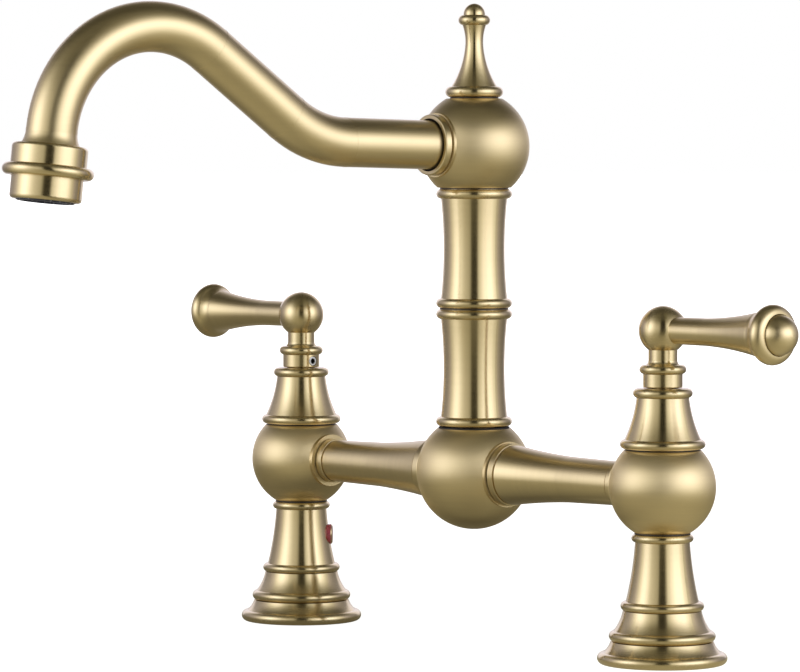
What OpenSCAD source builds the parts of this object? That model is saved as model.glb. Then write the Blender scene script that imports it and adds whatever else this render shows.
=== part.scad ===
// Two-handle bridge kitchen tap with a swan-neck spout, in turned and brushed brass.
// The origin is midway between the two legs on the worktop. X runs along the bridge,
// the spout reaches towards -Y at its middle position, and Z points up.

/* [Whole tap] */
// Distance between the axes of the two legs
leg_spacing = 203.2; // [185:0.1:260]
// Height of the bridge axis above the worktop
bridge_z = 64.9; // [61:0.1:75]
// Height of the axis on which the spout leaves the top ball
spout_z = 189.3; // [180:0.5:220]
// Swing of the spout at rest about the column, 0 is straight to the front
spout_swing = -6; // [-40:1:40]
// Height of the dark grooves that part the turned pieces
groove = 0.5; // [0.2:0.1:1]

/* [Fits] */
// Gap between pieces that move past each other
moving_gap = 0.3; // [0.2:0.05:0.4]
// Radial clearance of a turning shaft in its bore
running_gap = 0.05; // [0.02:0.01:0.1]
// Radial clearance of a screwed or pushed joint
thread_gap = 0.1; // [0.05:0.05:0.2]

/* [Legs] */
// Diameter over the rolled ring at the foot
foot_d = 47.8; // [44:0.1:52]
// Thickness of the foot ring
foot_ring_t = 4.3; // [3:0.1:5]
// Diameter of the middle ring of the foot
step_ring_d = 39.1; // [36:0.1:42]
// Height of the underside of that ring
step_ring_z = 8.3; // [7:0.1:9.5]
// Thickness of that ring
step_ring_t = 3.9; // [2.6:0.1:4]
// Diameter of the upper ring of the foot
cone_ring_d = 30.6; // [28.5:0.1:33]
// Height of the underside of that ring
cone_ring_z = 19.6; // [18:0.1:22]
// Thickness of that ring
cone_ring_t = 3.4; // [2:0.1:3.6]
// Diameter of the leg's narrowest place
waist_d = 20.1; // [18.5:0.1:21]
// Diameter of the ring under the ball
neck_ring_d = 22.8; // [21.4:0.1:25]
// Thickness of the ring under the ball
neck_ring_t = 3; // [2:0.1:3.5]

/* [Balls] */
// Diameter of the valve ball on each leg
leg_ball_d = 39.2; // [37:0.1:42]
// Diameter of the ball in the middle of the bridge
centre_ball_d = 43.8; // [41:0.1:48]
// Diameter of the ball that carries the spout
top_ball_d = 42.2; // [39:0.1:46]
// How far the leg ball's lower flat lies inside the neck ring
neck_seat_in = 1.1; // [0.8:0.1:2]
// How far the leg ball's upper flat lies inside the bonnet ring
bonnet_seat_in = 1.5; // [1:0.1:2.6]
// How far the centre ball's flat lies inside the column's foot ring
column_seat_in = 0.5; // [0.4:0.1:2.5]
// How far the top ball's lower flat lies inside the column's top ring
top_seat_in = 0.5; // [0.1:0.1:1.5]
// How far the top ball's upper flat lies inside the finial's ring
finial_seat_in = 0.4; // [0.3:0.1:1.5]

/* [Bridge] */
// Diameter of the boss on the centre ball
centre_boss_d = 24.9; // [24:0.1:27]
// How far that boss stands out of the ball
centre_boss_out = 1.2; // [0.8:0.1:2]
// Diameter of the boss on a leg ball
leg_boss_d = 20.4; // [18.6:0.1:22]
// How far that boss stands out of the ball
leg_boss_out = 1.6; // [0.8:0.1:2.2]
// Length of each collar on a bridge tube
bridge_collar_t = 2.9; // [2:0.1:4]
// Diameter of the tube beside the centre ball
bridge_wide_d = 22.7; // [21:0.1:23.4]
// Diameter where the flare ends
bridge_mid_d = 17.2; // [16.2:0.1:18.5]
// Diameter of the tube beside a leg ball
bridge_thin_d = 16.3; // [15.4:0.1:16.8]
// Length of the flare
bridge_flare_l = 30; // [24:0.5:36]
// Diameter of the waterway in the bridge
bridge_bore_d = 11; // [9:0.1:11.4]
// Length of the screwed end in a ball
spigot_l = 6; // [5:0.1:6.4]
// Wall of the tube's screwed end beside the centre ball
wide_spigot_wall = 2.5; // [2:0.1:3.2]
// Wall of the tube's screwed end beside a leg ball
thin_spigot_wall = 1.6; // [1.3:0.1:2]
// Thickness of the sealing rings in the bridge and under the cartridges
seal_t = 1.4; // [1.2:0.1:1.6]

/* [Bonnets and cartridges] */
// Diameter of the bonnet's lower ring
bonnet_ring_d = 31.4; // [29.8:0.1:34]
// Thickness of the bonnet's lower ring
bonnet_ring_t = 3.5; // [2.8:0.1:4.5]
// Diameter at the foot of the bell
bell_foot_d = 28.1; // [27:0.1:29]
// Diameter at the top of the bell
bell_top_d = 19.4; // [18.4:0.1:20.5]
// Height of the bell
bell_h = 15.2; // [13:0.1:20]
// Diameter of the bonnet's upper ring
bonnet_top_ring_d = 22; // [20.6:0.1:24]
// Thickness of the bonnet's upper ring
bonnet_top_ring_t = 3.5; // [2.4:0.1:4]
// Diameter of the cartridge's thread in the ball
cartridge_d = 19; // [18.4:0.1:19.6]
// Diameter of the cartridge's barrel in the waterway
barrel_d = 14.8; // [14.4:0.1:15.6]
// Width over the corners of the cartridge's hexagon
cartridge_hex_d = 22; // [21:0.1:22.6]
// Diameter of the cartridge's nose inside the bonnet
nose_d = 11.2; // [10.6:0.1:12]
// Diameter of the ceramic discs
disc_d = 12.2; // [11.6:0.1:12.4]
// Thickness of a ceramic disc
disc_t = 2.5; // [2:0.1:3]
// Diameter of the cartridge's stem
stem_d = 8; // [7:0.1:8.2]

/* [Handles] */
// Diameter of the hub under a handle
hub_d = 14.6; // [13.4:0.1:16]
// Height of the hub
hub_h = 4.9; // [4.6:0.1:8]
// Diameter of the ring on the hub
hub_ring_d = 17.3; // [16.2:0.1:19]
// Thickness of that ring
hub_ring_t = 3.4; // [2:0.1:4]
// Diameter of the neck under the lever's ball
hub_neck_d = 10.7; // [10:0.1:11.5]
// Height of that neck
hub_neck_h = 5.4; // [4:0.1:8]
// Diameter of the ball that the lever leaves from
lever_ball_d = 17.9; // [16.4:0.1:20]
// Distance from the leg's axis to the middle of the lever's flange
lever_reach = 55; // [48:0.1:70]
// Diameter of the lever at the ball
lever_root_d = 9.9; // [8.4:0.1:10]
// Diameter of the lever where it starts to widen
lever_waist_d = 10.1; // [8.8:0.1:10.4]
// Length over which the lever widens
lever_flare_l = 26; // [20:0.5:28]
// Diameter of the lever where it opens out to its flange
lever_bell_d = 16.2; // [14.4:0.1:17]
// Diameter of the rolled flange
flange_d = 21.8; // [20.8:0.1:24]
// Thickness of the rolled flange
flange_t = 6.6; // [5:0.1:6.8]
// Diameter of the end knob's ball
knob_d = 14.9; // [13.6:0.1:15]
// Distance from the flange's front to the tip of the knob
knob_out = 6.6; // [5.6:0.1:7.4]
// Diameter of the grub screws
grub_d = 3.8; // [3:0.1:4.2]

/* [Column] */
// Diameter over the rings of the column
column_ring_d = 29.1; // [28:0.1:32]
// Thickness of those rings
column_ring_t = 3.7; // [3:0.1:4.5]
// Diameter of the column next to its rings
column_d = 25.4; // [24:0.1:26]
// How far the column draws in between its rings
column_waist = 1; // [0.4:0.1:1.4]
// Height of the lower half of the column
column_lower_h = 44.7; // [40:0.1:55]
// Diameter of the swivel shank in the centre ball
swivel_d = 18.8; // [17.6:0.1:19]
// Thickness of the slip ring under the column
slip_ring_t = 0.5; // [0.4:0.1:1]
// Diameter of the waterway in the column
column_bore_d = 15; // [13:0.1:16]

/* [Spout] */
// Outer diameter of the spout's tube
spout_d = 18.5; // [16.6:0.1:19]
// Wall of the spout's tube
spout_wall = 1.6; // [1:0.1:2.2]
// Distance from the column's axis to the corner where the spout turns up
spout_corner = 74.8; // [66:0.1:90]
// Angle at which the spout leaves the top ball
spout_tilt = 1.5; // [0:0.1:3]
// Further angle at which the spout climbs
spout_climb = 34.6; // [25:0.1:42]
// Radius of the bend that turns it up
spout_bend_r = 47.2; // [40:0.1:60]
// Distance from the corner to the start of the crook
spout_rise_l = 56.4; // [52:0.1:80]
// Radius of the crook
crook_r = 42.8; // [36:0.1:50]
// How far the nozzle leans outwards, beyond that first angle
nozzle_lean = 5; // [0:0.1:10]
// Diameter of the boss on the top ball
spout_boss_d = 24.3; // [23.8:0.1:26]
// How far that boss stands out of the ball
spout_boss_out = 1.1; // [0.8:0.1:2]
// Diameter of the spout's collar
spout_collar_d = 23.2; // [22:0.1:23.6]
// Length of the spout's collar
spout_collar_t = 3.2; // [2.6:0.1:5]
// Width of the dark gap between the collar and the tube
collar_gap = 0.75; // [0.5:0.05:1]

/* [Nozzle] */
// Diameter of the tube where it opens out on the nozzle
tube_mouth_d = 21.2; // [20:0.1:22]
// Length of that opening
tube_mouth_l = 4.9; // [3:0.1:7]
// Diameter of the nozzle above its ring
nozzle_d = 27.4; // [26.6:0.1:30]
// Height of the nozzle above its ring
nozzle_upper_h = 7.4; // [5:0.1:9]
// Diameter of the nozzle's ring
nozzle_ring_d = 33.1; // [31:0.1:37]
// Thickness of the nozzle's ring
nozzle_ring_t = 4.3; // [3.6:0.1:6]
// Diameter of the nozzle below its ring
nozzle_tip_d = 26; // [25.4:0.1:28]
// Height of the nozzle below its ring
nozzle_tip_h = 8.4; // [7.6:0.1:12]
// Diameter of the aerator's thread
aerator_d = 22; // [20.6:0.1:22.4]
// How far the aerator stands out of the nozzle
aerator_out = 0.5; // [0.3:0.1:2]

/* [Finial] */
// Diameter of the finial's lower ring
finial_ring_d = 22.1; // [20.4:0.1:25]
// Thickness of that ring
finial_ring_t = 4.1; // [3:0.1:5]
// Diameter at the foot of the stem
finial_foot_d = 17.5; // [16:0.1:18]
// Diameter of the stem where it starts to widen again
finial_waist_d = 7.1; // [5.6:0.1:7.4]
// Height from the ring to that place
finial_waist_h = 14.8; // [12:0.1:20]
// Height from there to the upper ring
finial_neck_h = 8.5; // [7:0.1:12]
// Diameter at the top of the stem
finial_neck_d = 9; // [7.4:0.1:10]
// Diameter of the upper ring
finial_top_ring_d = 12.2; // [10.6:0.1:14]
// Thickness of the upper ring
finial_top_ring_t = 3.9; // [2.8:0.1:4.4]
// Diameter of the ball at the tip
finial_tip_d = 8.3; // [7.4:0.1:9.2]

/* [Fixing] */
// Thickness of the worktop that the tap is clamped on
worktop_t = 30; // [15:1:33]
// Diameter of the mounting thread
shank_d = 24; // [22:0.1:24.4]
// Length of the mounting thread below the worktop's top
shank_l = 44; // [43:0.5:60]
// Diameter of the half-inch inlet thread at its end
inlet_d = 20.955; // [20:0.005:21.2]
// Length of the inlet thread
inlet_l = 15; // [12:0.5:20]
// Diameter of the riser from the shank into the ball
riser_d = 13; // [12.4:0.1:13.2]
// Depth of the shank's socket in the foot
socket_h = 14; // [10:0.1:15]
// Outer diameter of the gaskets and washers
washer_d = 38; // [36:0.1:38.4]
// Depth of the gasket's recess in the foot
gasket_t = 1.8; // [1:0.1:2.4]
// Width over the corners of a lock nut
nut_d = 37; // [34:0.5:38]
// Height of the hot and cold buttons above the worktop
index_z = 34.5; // [32:0.1:37]
// Diameter of those buttons
index_d = 8; // [6:0.1:8.4]

/* [Hidden] */
$fn = 96;
fine = 256;                 // for arcs of a large radius
brass = [0.78, 0.66, 0.43];
raw_brass = [0.74, 0.6, 0.36];
steel = [0.72, 0.73, 0.75];
rubber = [0.12, 0.12, 0.13];
ceramic = [0.93, 0.91, 0.87];
dark_plastic = [0.2, 0.21, 0.27];
past = 0.5;                 // how far a cut runs past the face that it opens
deep = 200;                 // longer than any piece, for cuts that go right through
seat_gap = 0.05;            // hair's breadth between two pieces screwed together on a slant
wall = 1.6;                 // least wall between two waterways
ball_seam = -45;            // direction of a ball's seam, clear of its bores
weld_bead = 0.05;           // height of a weld over the spout's tube
weld_lap = 0.6;             // how far a weld laps over each stretch
mouth_sag = 0.35;           // how far a short flare draws in
cone_in = 1.95;             // how far the leg's cone starts inside its ring
column_groove_in = 1.4;     // how deep the grooves between the column's pieces are

function cap_height(r, flat_r) = sqrt(r * r - flat_r * flat_r);

// Heights of the stack on each leg, from the worktop up
leg_ball_r = leg_ball_d / 2;
leg_ball_low_z = bridge_z - cap_height(leg_ball_r, neck_ring_d / 2 - neck_seat_in);
leg_ball_high_z = bridge_z + cap_height(leg_ball_r, bonnet_ring_d / 2 - bonnet_seat_in);
leg_top_z = leg_ball_low_z - groove;
bonnet_ring_z = leg_ball_high_z + groove;
bell_z = bonnet_ring_z + bonnet_ring_t;
bonnet_top_ring_z = bell_z + bell_h;
bonnet_top_z = bonnet_top_ring_z + bonnet_top_ring_t;
hub_z = bonnet_top_z + moving_gap;
hub_ring_z = hub_z + hub_h;
hub_neck_z = hub_ring_z + hub_ring_t;
lever_ball_r = lever_ball_d / 2;
lever_z = hub_neck_z + hub_neck_h + cap_height(lever_ball_r, hub_neck_d / 2);

// The bridge, measured from the tap's middle
bridge_bore_r = bridge_bore_d / 2;
centre_face = cap_height(centre_ball_d / 2, centre_boss_d / 2) + centre_boss_out;
leg_face_in = cap_height(leg_ball_r, leg_boss_d / 2) + leg_boss_out;
leg_face = leg_spacing / 2 - leg_face_in;
wide_spigot_r = bridge_bore_r + wide_spigot_wall;
thin_spigot_r = bridge_bore_r + thin_spigot_wall;

// The valve inside each leg ball
chamber_r = cartridge_d / 2 + thread_gap;
seat_z = bridge_z - bridge_bore_r - 0.7;
barrel_z = seat_z + seal_t;
disc_z = barrel_z + 2.1;
moving_disc_z = disc_z + disc_t + moving_gap;
carrier_z = moving_disc_z + disc_t;
carrier_h = 5.4;
cavity_top_z = carrier_z + carrier_h + moving_gap;
cavity_r = disc_d / 2 + moving_gap / 2;
cartridge_thread_l = leg_ball_high_z - bridge_z - thin_spigot_r - 2 * moving_gap;
riser_thread_l = 7;
hex_h = 3.2;
hex_top_z = leg_ball_high_z + hex_h;
shoulder_z = bell_z + 6.6;
shoulder_r = nose_d / 2 + 2.4;
nose_top_z = bonnet_top_z - moving_gap;
stem_top_z = hub_neck_z + 3;

// The column and the swivel in the centre ball
centre_ball_top_z = bridge_z + cap_height(centre_ball_d / 2, column_ring_d / 2 - column_seat_in);
column_z = centre_ball_top_z + slip_ring_t + moving_gap;
column_split_z = column_z + column_lower_h;
column_upper_z = column_split_z + groove;
top_ball_r = top_ball_d / 2;
top_ball_low_z = spout_z - cap_height(top_ball_r, column_ring_d / 2 - top_seat_in);
top_ball_high_z = spout_z + cap_height(top_ball_r, finial_ring_d / 2 - finial_seat_in);
column_top_z = top_ball_low_z - groove;
swivel_r = swivel_d / 2;
swivel_low_z = bridge_z + bridge_bore_r + 0.8;
swivel_screw_z = centre_ball_top_z - grub_d / 2 - moving_gap - 1;
swivel_groove_r = swivel_r - 1.2;
swivel_thread_l = 12;
seal_wire = 1.9;
joiner_r = column_bore_d / 2 + 1.9;
joiner_l = 9;
joiner_bore_r = column_bore_d / 2 - 1;

// The spout, in its own upright plane
spout_r = spout_d / 2;
spout_bore_r = spout_r - spout_wall;
spout_face = cap_height(top_ball_r, spout_boss_d / 2) + spout_boss_out;
spout_end = spout_face - 7.5;
spout_seal_t = 1.2;
bend_start = spout_corner - spout_bend_r * tan(spout_climb / 2);
rise_from = spout_bend_r * tan(spout_climb / 2);
climb_dir = [cos(spout_climb), 0, sin(spout_climb)];
rise_start = [spout_corner, 0, 0] + rise_from * climb_dir;
rise_end = [spout_corner, 0, 0] + spout_rise_l * climb_dir;
crook_centre = rise_end + crook_r * [sin(spout_climb), 0, -cos(spout_climb)];
crook_turn = 90 + spout_climb - nozzle_lean;
crook_end = crook_centre + crook_r * [cos(nozzle_lean), 0, sin(nozzle_lean)];

// The nozzle, along its own axis from the end of the crook
nozzle_ring_s = tube_mouth_l + nozzle_upper_h;
nozzle_tip_s = nozzle_ring_s + nozzle_ring_t;
nozzle_end_s = nozzle_tip_s + nozzle_tip_h;
mouth_spigot_l = 5;
aerator_l = 7.2;
aerator_s = nozzle_end_s - aerator_l;
aerator_seal_t = 1.2;

// The finial and the lever
finial_foot_z = top_ball_high_z + groove + finial_ring_t;
finial_waist_z = finial_foot_z + finial_waist_h;
finial_neck_z = finial_waist_z + finial_neck_h;
finial_tip_z = finial_neck_z + finial_top_ring_t;
lever_seat = cap_height(lever_ball_r, lever_root_d / 2);
flange_back = lever_reach - flange_t / 2;
flange_front = lever_reach + flange_t / 2;
lever_bell = flange_back - 3.2;
knob_seat = flange_front - 2.4;
knob_tip = flange_front + knob_out;
recess_r = knob_d / 2 + 0.2;

// Outline of a disc with a half-round rim, from the axis outwards
module rim_2d(r, z, t) {
    translate([0, z]) square([r - t / 2, t]);
    translate([r - t / 2, z + t / 2]) circle(d = t);
}

// Outline of a plain stretch of a turned piece
module stretch_2d(r, z0, z1) {
    translate([0, z0]) square([r, z1 - z0]);
}

// Outline of a stretch whose lower and upper edges are rounded
module soft_2d(r, z0, z1, low = 0, high = 0) {
    translate([0, z0 + low]) square([r, z1 - z0 - low - high]);
    if (low > 0) {
        translate([0, z0]) square([r - low, low]);
        translate([r - low, z0 + low]) circle(r = low);
    }
    if (high > 0) {
        translate([0, z1 - high]) square([r - high, high]);
        translate([r - high, z1 - high]) circle(r = high);
    }
}

// Outline of a stretch that draws in by sag between its two radii
module flare_2d(z0, r0, z1, r1, sag) {
    chord = norm([r1 - r0, z1 - z0]);
    arc_r = (chord * chord / 4 + sag * sag) / (2 * sag);
    out = [z1 - z0, r0 - r1] / chord;
    middle = [(r0 + r1) / 2, (z0 + z1) / 2];
    difference() {
        polygon([[0, z0], [r0, z0], [r1, z1], [0, z1]]);
        translate(middle + out * (arc_r - sag)) circle(r = arc_r, $fn = fine);
    }
}

// Outline of an even cone
module taper_2d(z0, r0, z1, r1) {
    polygon([[0, z0], [r0, z0], [r1, z1], [0, z1]]);
}

// A ball on the axis at height z, cut flat at two heights, its seam off to the back
module cut_ball(d, z, low_z, high_z) {
    rotate([0, 0, ball_seam]) rotate_extrude() intersection() {
        translate([0, z]) circle(d = d);
        stretch_2d(d, low_z, high_z);
    }
}

// Takes off what bulges past the flat face of a boss, drawn along +Z
module face_cut(face, boss_d) {
    translate([0, 0, face]) cylinder(d = boss_d - 1, h = deep);
}

// A ring of round wire
module wire_ring(r, wire) {
    rotate_extrude() translate([r, 0]) circle(d = wire);
}

// A flat washer
module washer(z, t, outer_d, inner_d) {
    translate([0, 0, z]) difference() {
        cylinder(d = outer_d, h = t);
        translate([0, 0, -past]) cylinder(d = inner_d, h = t + 2 * past);
    }
}

// Puts a piece drawn for the right leg on the leg of the given side, mirrored for the left
module on_leg(side) {
    translate([side * leg_spacing / 2, 0, 0])
        mirror([side < 0 ? 1 : 0, 0, 0])
            children();
}

module on_both_legs() {
    for (side = [-1, 1]) on_leg(side) children();
}

// Turns a piece drawn along +Z to lie along +X
module along_x() {
    rotate([0, 90, 0]) children();
}

// Puts a piece drawn along +X from the top ball's centre where the spout points
module along_spout() {
    translate([0, 0, spout_z]) rotate([0, -spout_tilt, spout_swing - 90]) children();
}

// Puts a piece drawn along +Z at the end of the crook, along the nozzle's axis
module on_nozzle() {
    along_spout() translate(crook_end) rotate([0, 180 - nozzle_lean, 0]) children();
}

// Hollow pedestal turned in one piece, with its three foot rings and its neck ring
module leg() {
    cone_foot_z = cone_ring_z + cone_ring_t;
    neck_ring_z = leg_top_z - neck_ring_t;
    color(brass) difference() {
        rotate_extrude() difference() {
            union() {
                rim_2d(foot_d / 2, 0, foot_ring_t);
                flare_2d(foot_ring_t, foot_d / 2 - 2.4, step_ring_z, step_ring_d / 2 - 0.7, 0.3);
                rim_2d(step_ring_d / 2, step_ring_z, step_ring_t);
                flare_2d(step_ring_z + step_ring_t, step_ring_d / 2 - 1.8,
                    cone_ring_z, cone_ring_d / 2 - 0.9, 0.45);
                rim_2d(cone_ring_d / 2, cone_ring_z, cone_ring_t);
                flare_2d(cone_foot_z, cone_ring_d / 2 - cone_in, neck_ring_z, waist_d / 2, 0.45);
                rim_2d(neck_ring_d / 2, neck_ring_z, neck_ring_t);
                stretch_2d(neck_ring_d / 2 - neck_seat_in, leg_top_z, leg_ball_low_z);
            }
            stretch_2d(shank_d / 2 + thread_gap, -past, socket_h);
            stretch_2d(riser_d / 2 + thread_gap, -past, leg_ball_low_z + past);
            stretch_2d(washer_d / 2 + thread_gap, -past, gasket_t);
        }
        index_place() translate([0, 0, -past]) cylinder(d = index_d + 2 * thread_gap, h = deep);
    }
}

// Where an index button sits: on the inner rear quarter of the leg, pointing outwards
index_floor = riser_d / 2 + thread_gap + wall;
module index_place() {
    translate([0, 0, index_z]) rotate([0, 0, 135]) along_x()
        translate([0, 0, index_floor + past]) children();
}

// Round enamelled button, let into the leg
module index_button(tint) {
    cone_slope = (cone_ring_d / 2 - cone_in - waist_d / 2) / (leg_top_z - neck_ring_t - cone_ring_z);
    face = waist_d / 2 + cone_slope * (leg_top_z - index_z) * 0.6 + 1.4;
    color(tint) index_place() rotate_extrude()
        soft_2d(index_d / 2, -past, face - index_floor - past, 0, 0.8);
}

// Threaded tail of a leg: mounting thread, inlet thread and the riser into the ball
module shank() {
    color(brass) rotate_extrude() difference() {
        union() {
            soft_2d(inlet_d / 2, -shank_l - inlet_l, -shank_l);
            stretch_2d(shank_d / 2, -shank_l, socket_h);
            stretch_2d(riser_d / 2, socket_h, leg_ball_low_z + riser_thread_l);
        }
        stretch_2d(riser_d / 2 - 2, -deep, deep);
    }
}

// Valve ball: the riser screws in below, the cartridge above and the bridge from the side
module leg_ball() {
    color(brass) difference() {
        union() {
            cut_ball(leg_ball_d, bridge_z, leg_ball_low_z, leg_ball_high_z);
            translate([0, 0, bridge_z]) mirror([1, 0, 0]) along_x()
                cylinder(d = leg_boss_d, h = leg_face_in);
        }
        translate([0, 0, seat_z]) cylinder(r = chamber_r, h = deep);
        translate([0, 0, bridge_z - leg_ball_r]) cylinder(d = riser_d - 4, h = leg_ball_r);
        translate([0, 0, leg_ball_low_z - past])
            cylinder(d = riser_d + 2 * thread_gap, h = riser_thread_l + past);
        translate([0, 0, bridge_z]) mirror([1, 0, 0]) along_x() {
            face_cut(leg_face_in, leg_boss_d);
            cylinder(d = bridge_bore_d, h = deep);
            translate([0, 0, leg_face_in - spigot_l - seal_t])
                cylinder(r = thin_spigot_r + thread_gap, h = deep);
        }
    }
}

// Bell-shaped cover over the cartridge, standing on the ball
module bonnet() {
    color(brass) rotate_extrude() difference() {
        union() {
            stretch_2d(bonnet_ring_d / 2 - bonnet_seat_in - 0.6, leg_ball_high_z, bonnet_ring_z);
            rim_2d(bonnet_ring_d / 2, bonnet_ring_z, bonnet_ring_t);
            flare_2d(bell_z, bell_foot_d / 2, bonnet_top_ring_z, bell_top_d / 2, 0.65);
            rim_2d(bonnet_top_ring_d / 2, bonnet_top_ring_z, bonnet_top_ring_t);
        }
        stretch_2d(cartridge_hex_d / 2 + moving_gap, 0, hex_top_z + thread_gap);
        stretch_2d(shoulder_r + thread_gap, 0, shoulder_z + thread_gap);
        stretch_2d(nose_d / 2 + thread_gap, 0, deep);
    }
}

// Brass body of the quarter-turn cartridge, with a hexagon to screw it in
module cartridge_body() {
    port_z = cavity_top_z - carrier_h / 2 - moving_gap;
    color(raw_brass) difference() {
        union() {
            translate([0, 0, barrel_z]) cylinder(d = barrel_d, h = leg_ball_high_z - barrel_z);
            translate([0, 0, leg_ball_high_z - cartridge_thread_l])
                cylinder(d = cartridge_d, h = cartridge_thread_l);
            translate([0, 0, leg_ball_high_z]) cylinder(d = cartridge_hex_d, h = hex_h, $fn = 6);
            translate([0, 0, hex_top_z]) cylinder(r = shoulder_r, h = shoulder_z - hex_top_z);
            translate([0, 0, shoulder_z]) cylinder(d = nose_d, h = nose_top_z - shoulder_z);
        }
        translate([0, 0, barrel_z - past]) cylinder(d = stem_d, h = disc_z - barrel_z + 2 * past);
        translate([0, 0, disc_z]) cylinder(r = cavity_r, h = cavity_top_z - disc_z);
        translate([0, 0, disc_z]) cylinder(r = stem_d / 2 + running_gap, h = deep);
        translate([0, 0, port_z]) rotate([90, 0, 0]) cylinder(r = 1.8, h = deep, center = true);
    }
}

// Ceramic disc with two opposite ports
module ceramic_disc(z, port_turn) {
    port_r = disc_d * 0.12;
    color(ceramic) translate([0, 0, z]) difference() {
        cylinder(d = disc_d, h = disc_t);
        for (turn = [0, 180]) rotate([0, 0, turn + port_turn])
            translate([disc_d / 4, 0, -past]) cylinder(r = port_r, h = disc_t + 2 * past);
    }
}

// Stem that carries the moving disc and turns with the handle
module stem() {
    color(brass) rotate_extrude() {
        stretch_2d(disc_d / 2 - 0.1, carrier_z, carrier_z + carrier_h);
        stretch_2d(stem_d / 2, carrier_z, stem_top_z);
    }
}

// Hub of a handle, with its ring, its neck and the ball that the lever screws into
module hub() {
    color(brass) difference() {
        union() {
            rotate_extrude() {
                soft_2d(hub_d / 2, hub_z, hub_ring_z, 0.4, 0);
                rim_2d(hub_ring_d / 2, hub_ring_z, hub_ring_t);
                flare_2d(hub_neck_z, hub_neck_d / 2 + 0.9, hub_neck_z + 2, hub_neck_d / 2, 0.3);
                stretch_2d(hub_neck_d / 2, hub_neck_z, lever_z);
            }
            translate([0, 0, lever_z]) sphere(d = lever_ball_d);
        }
        translate([0, 0, hub_z - past])
            cylinder(r = stem_d / 2 + thread_gap, h = stem_top_z + moving_gap - hub_z + past);
        translate([lever_seat, 0, lever_z]) along_x() cylinder(d = lever_ball_d, h = deep);
        translate([lever_seat - lever_stud_l, 0, lever_z]) along_x()
            cylinder(r = lever_stud_r + thread_gap, h = deep);
        handle_screw_place() cylinder(d = grub_d + 2 * thread_gap, h = hub_d);
    }
}

lever_stud_r = lever_root_d / 2 - 1.6;
lever_stud_l = 4.5;

// Where the handle's screw sits: in the hub, opposite the lever, bearing on the stem
module handle_screw_place() {
    translate([0, 0, hub_z + hub_h / 2]) rotate([0, 0, 180]) along_x()
        translate([0, 0, stem_d / 2 + thread_gap / 2]) children();
}

// Socket grub screw, drawn along +Z with its socket at the far end
module grub_screw(l) {
    socket_r = grub_d * 0.29;
    color(steel) difference() {
        rotate_extrude() soft_2d(grub_d / 2, 0, l, 0.3, 0.3);
        translate([0, 0, l - 1.6]) cylinder(r = socket_r, h = l, $fn = 6);
    }
}

module handle_screw() {
    handle_screw_place() grub_screw(hub_d / 2 - stem_d / 2 - 0.25);
}

// Lever, turned in one piece from its stud to the rolled flange
module lever() {
    flare_start = lever_bell - lever_flare_l;
    color(brass) translate([0, 0, lever_z]) along_x() rotate_extrude() difference() {
        union() {
            stretch_2d(lever_stud_r, lever_seat - lever_stud_l + moving_gap, lever_seat);
            taper_2d(lever_seat, lever_root_d / 2, flare_start, lever_waist_d / 2);
            flare_2d(flare_start, lever_waist_d / 2, lever_bell, lever_bell_d / 2, 0.55);
            flare_2d(lever_bell, lever_bell_d / 2, flange_back + 0.9, flange_d / 2 - 1.1, 0.4);
            rim_2d(flange_d / 2, flange_back, flange_t);
        }
        stretch_2d(recess_r, knob_seat, deep);
        stretch_2d(knob_stud_r + thread_gap, knob_seat - knob_stud_l, deep);
    }
}

knob_stud_r = 2.5;
knob_stud_l = 5.5;

// Ball-shaped knob that screws into the end of the lever and fills its rim
module lever_knob() {
    ball_r = knob_d / 2;
    color(brass) translate([0, 0, lever_z]) along_x() rotate_extrude() {
        stretch_2d(knob_stud_r, knob_seat - knob_stud_l + moving_gap, knob_seat + 1);
        intersection() {
            translate([0, knob_tip - ball_r]) circle(r = ball_r);
            stretch_2d(knob_d, knob_seat, knob_tip + past);
        }
    }
}

// One tube of the bridge, turned with a collar at each end and a screwed spigot beyond it
module bridge_tube() {
    wide_collar_r = bridge_wide_d / 2 + 0.5;
    thin_collar_r = bridge_thin_d / 2 + 0.5;
    tube_start = centre_face + groove + bridge_collar_t;
    tube_end = leg_face - groove - bridge_collar_t;
    flare_end = tube_start + groove + bridge_flare_l;
    color(brass) translate([0, 0, bridge_z]) along_x() rotate_extrude() difference() {
        union() {
            stretch_2d(wide_spigot_r, centre_face - spigot_l, centre_face);
            stretch_2d(wide_collar_r - 1, centre_face, tube_start + groove);
            soft_2d(wide_collar_r, centre_face + groove, tube_start, 0.3, 0.3);
            flare_2d(tube_start + groove, bridge_wide_d / 2, flare_end, bridge_mid_d / 2, 0.35);
            taper_2d(flare_end, bridge_mid_d / 2, tube_end - groove, bridge_thin_d / 2);
            stretch_2d(thin_collar_r - 1, tube_end - groove, leg_face);
            soft_2d(thin_collar_r, tube_end, leg_face - groove, 0.3, 0.3);
            stretch_2d(thin_spigot_r, leg_face, leg_face + spigot_l);
        }
        stretch_2d(bridge_bore_r, 0, deep);
    }
}

// Sealing ring at each end of each bridge tube
module bridge_seals() {
    wire = seal_t - thread_gap;
    ring_r = bridge_bore_r + seal_t / 2 + thread_gap;
    color(rubber) for (side = [0, 1], place = [centre_face - spigot_l, leg_face + spigot_l + seal_t])
        translate([0, 0, bridge_z]) mirror([side, 0, 0]) along_x()
            translate([0, 0, place - seal_t / 2]) wire_ring(ring_r, wire);
}

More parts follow.
